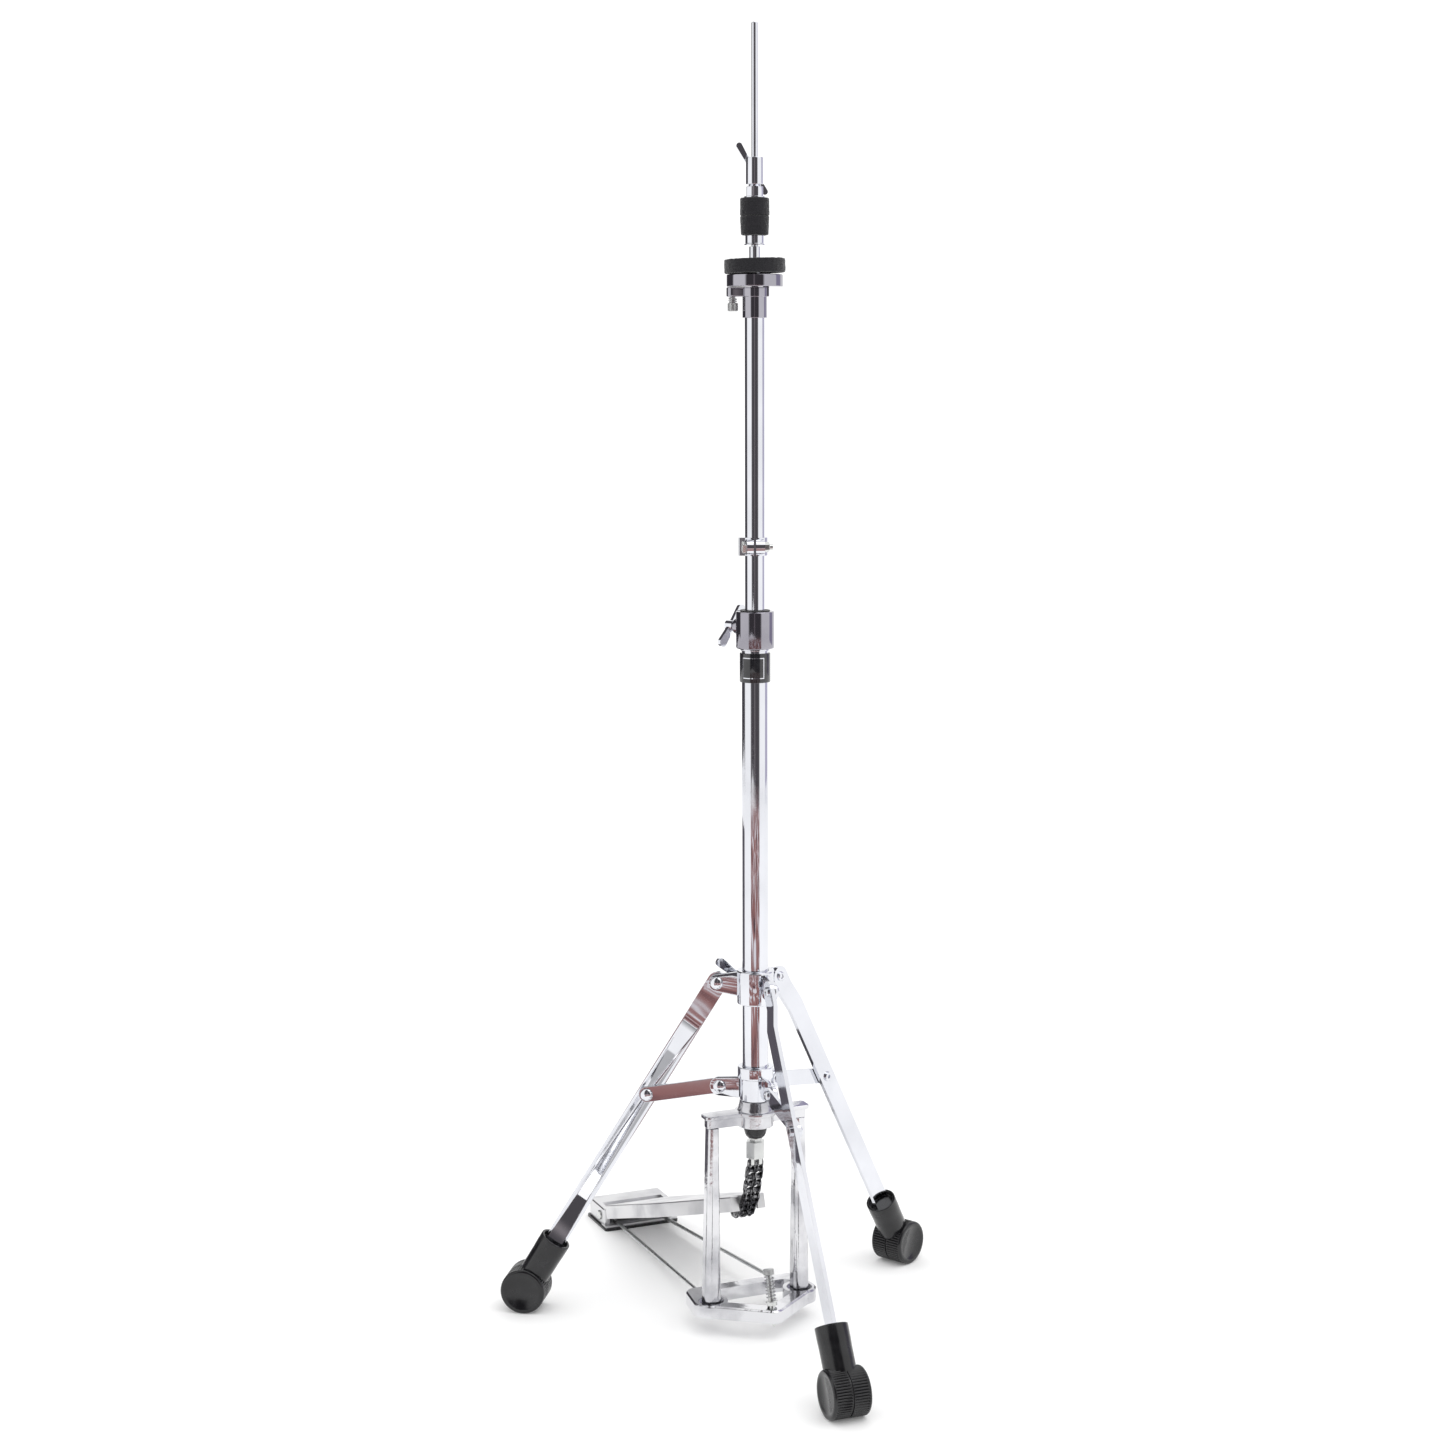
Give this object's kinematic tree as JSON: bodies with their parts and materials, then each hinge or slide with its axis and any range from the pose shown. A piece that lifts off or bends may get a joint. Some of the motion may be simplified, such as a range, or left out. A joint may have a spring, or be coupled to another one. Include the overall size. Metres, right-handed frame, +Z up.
{
  "type": "hi-hat stand",
  "caption": "Chrome hi-hat stand with folding tripod, chain-driven pedal, tilting lower seat and felt clutch.",
  "frame": {"origin": "on the floor under the centre line of the tubes", "axes": "+Z up along the tubes and the pull rod, -Y towards the pedal's heel, X across the two uprights"},
  "size_m": [0.4597, 0.6226, 1.25],
  "materials": {
    "chrome": "polished chrome plate",
    "dark_chrome": "polished, dark reflections",
    "zinc_steel": "zinc plated, machined",
    "spring_steel": "drawn wire",
    "black_chain": "black oxide, oiled",
    "cast_aluminium": "polished casting",
    "satin_aluminium": "satin casting",
    "black_gloss": "gloss moulded",
    "nylon": "moulded nylon",
    "rubber": "semi-gloss moulded rubber",
    "felt": "pressed wool felt"
  },
  "bodies": {
    "root": {"base_plate": "cast_aluminium", "uprights": "cast_aluminium", "frame_hub": "cast_aluminium", "lower_tube": "chrome", "rod_guide_bush": "nylon", "return_spring": "spring_steel", "radius_rods": "zinc_steel", "heel_plate": "satin_aluminium", "heel_pad": "rubber", "heel_hinge_pin": "zinc_steel", "spur_nut": "zinc_steel", "spur_spring": "spring_steel", "clamp_collar": "dark_chrome", "clamp_bush": "nylon", "label_sleeve": "black_gloss"},
    "tripod_ring": {"lower_ring": "chrome", "ring_rivets": "chrome"},
    "tripod_collar": {"upper_collar": "chrome", "collar_rivets": "chrome"},
    "tripod_wing": {"tripod_wing_screw": "chrome"},
    "upper_column": {"upper_tube": "chrome", "tube_end_bush": "nylon", "seat_sleeve": "dark_chrome", "tilter_spring": "spring_steel"},
    "memory_lock": {"memory_lock": "chrome", "memory_lock_screw": "zinc_steel"},
    "height_wing": {"height_wing_screw": "chrome"},
    "seat": {"seat_disc": "dark_chrome", "seat_hinge_pin": "zinc_steel", "seat_stem": "chrome", "seat_felt": "felt"},
    "tilter": {"tilter_screw": "zinc_steel"},
    "clutch": {"clutch_body": "chrome", "clutch_tube": "chrome", "clutch_upper_nut": "chrome", "clutch_felt_lower": "felt", "clutch_felt_upper": "felt", "clutch_bottom_nut": "chrome"},
    "clutch_wing": {"clutch_wing_screw": "chrome"},
    "pedal": {"footboard": "satin_aluminium", "toe_clamp": "zinc_steel", "chain_lower": "black_chain"},
    "pull_rod": {"pull_rod": "chrome", "rod_coupler": "zinc_steel", "rubber_bumper": "rubber", "spring_stop": "nylon"},
    "chain": {"chain_upper": "black_chain"},
    "spur": {"spur_screw": "zinc_steel"},
    "leg_1": {"leg_1": "chrome", "foot_1": "rubber"},
    "brace_1": {"brace_1": "chrome", "brace_rivet_1": "chrome"},
    "leg_2": {"leg_2": "chrome", "foot_2": "rubber"},
    "brace_2": {"brace_2": "chrome", "brace_rivet_2": "chrome"},
    "leg_3": {"leg_3": "chrome", "foot_3": "rubber"},
    "brace_3": {"brace_3": "chrome", "brace_rivet_3": "chrome"}
  },
  "joints": [
    {"name": "tripod_swivel", "type": "hinge", "parent": "root", "child": "tripod_ring", "pos_m": [0, 0, 0.245], "axis": [0, 0, 1], "range_deg": [-12, 12]},
    {"name": "tripod_fold", "type": "slide", "parent": "tripod_ring", "child": "tripod_collar", "axis": [0, 0, 1], "range_m": [0, 0.1013]},
    {"name": "tripod_screw_turn", "type": "hinge", "parent": "tripod_collar", "child": "tripod_wing", "pos_m": [0, -0.036, 0.342], "axis": [0, -1, 0], "range_deg": [-180, 180]},
    {"name": "height_slide", "type": "slide", "parent": "root", "child": "upper_column", "axis": [0, 0, 1], "range_m": [-0.052, 0.07]},
    {"name": "height_screw_turn", "type": "hinge", "parent": "root", "child": "height_wing", "pos_m": [0.01124, -0.02782, 0.691], "axis": [0.3746, -0.9272, 0], "range_deg": [-180, 180]},
    {"name": "memory_lock_slide", "type": "slide", "parent": "upper_column", "child": "memory_lock", "axis": [0, 0, 1], "range_m": [0, 0.15]},
    {"name": "seat_tilt", "type": "hinge", "parent": "upper_column", "child": "seat", "pos_m": [-0.00959, 0.00427, 1.0122], "axis": [-0.4067, -0.9135, 0], "range_deg": [0, 1.6]},
    {"name": "tilter_travel", "type": "slide", "parent": "upper_column", "child": "tilter", "axis": [0, 0, 1], "range_m": [0, 0.001], "stiffness_N_per_m": 20, "springref_m": 0.0045, "deforming": ["tilter_spring"]},
    {"name": "clutch_slide", "type": "slide", "parent": "upper_column", "child": "clutch", "axis": [0, 0, 1], "range_m": [0, 0.07]},
    {"name": "clutch_screw_turn", "type": "hinge", "parent": "clutch", "child": "clutch_wing", "pos_m": [-0.00363, -0.01455, 1.119], "axis": [-0.2419, -0.9703, 0], "range_deg": [-180, 180]},
    {"name": "pedal_press", "type": "hinge", "parent": "root", "child": "pedal", "pos_m": [0, -0.3295, 0.012], "axis": [-1, 0, 0], "range_deg": [0, 6.5], "stiffness_Nm_per_rad": 20, "springref_deg": -11.46},
    {"name": "rod_pull", "type": "slide", "parent": "root", "child": "pull_rod", "axis": [0, 0, -1], "range_m": [0, 0.0355], "deforming": ["return_spring"]},
    {"name": "chain_swing", "type": "hinge", "parent": "pull_rod", "child": "chain", "pos_m": [0, 0, 0.165], "axis": [1, 0, 0], "range_deg": [0, 16]},
    {"name": "spur_advance", "type": "slide", "parent": "root", "child": "spur", "axis": [0, 0.2588, -0.9659], "range_m": [0, 0.012], "deforming": ["spur_spring"]},
    {"name": "leg_1_fold", "type": "hinge", "parent": "tripod_collar", "child": "leg_1", "pos_m": [0.00194, 0.03695, 0.345], "axis": [-0.9986, 0.0523, 0], "range_deg": [0, 21.5]},
    {"name": "brace_1_fold", "type": "hinge", "parent": "tripod_ring", "child": "brace_1", "pos_m": [0.0018, 0.03435, 0.242], "axis": [0.9986, -0.0523, 0], "range_deg": [0, 79.9]},
    {"name": "leg_2_fold", "type": "hinge", "parent": "tripod_collar", "child": "leg_2", "pos_m": [-0.03297, -0.0168, 0.345], "axis": [0.454, -0.891, 0], "range_deg": [0, 21.5]},
    {"name": "brace_2_fold", "type": "hinge", "parent": "tripod_ring", "child": "brace_2", "pos_m": [-0.03065, -0.01562, 0.242], "axis": [-0.454, 0.891, 0], "range_deg": [0, 79.9]},
    {"name": "leg_3_fold", "type": "hinge", "parent": "tripod_collar", "child": "leg_3", "pos_m": [0.03103, -0.02015, 0.345], "axis": [0.5446, 0.8387, 0], "range_deg": [0, 21.5]},
    {"name": "brace_3_fold", "type": "hinge", "parent": "tripod_ring", "child": "brace_3", "pos_m": [0.02885, -0.01874, 0.242], "axis": [-0.5446, -0.8387, 0], "range_deg": [0, 79.9]}
  ],
  "couplings": [
    {"joint": "rod_pull", "follows": "pedal_press", "m_per_rad": 0.3098},
    {"joint": "chain_swing", "follows": "pedal_press", "ratio": 2.435},
    {"joint": "tilter_travel", "follows": "seat_tilt", "m_per_rad": 0.031},
    {"joint": "leg_1_fold", "follows": "tripod_fold", "rad_per_m": 3.688},
    {"joint": "brace_1_fold", "follows": "tripod_fold", "rad_per_m": 13.736},
    {"joint": "leg_2_fold", "follows": "tripod_fold", "rad_per_m": 3.688},
    {"joint": "brace_2_fold", "follows": "tripod_fold", "rad_per_m": 13.736},
    {"joint": "leg_3_fold", "follows": "tripod_fold", "rad_per_m": 3.688},
    {"joint": "brace_3_fold", "follows": "tripod_fold", "rad_per_m": 13.736}
  ]
}
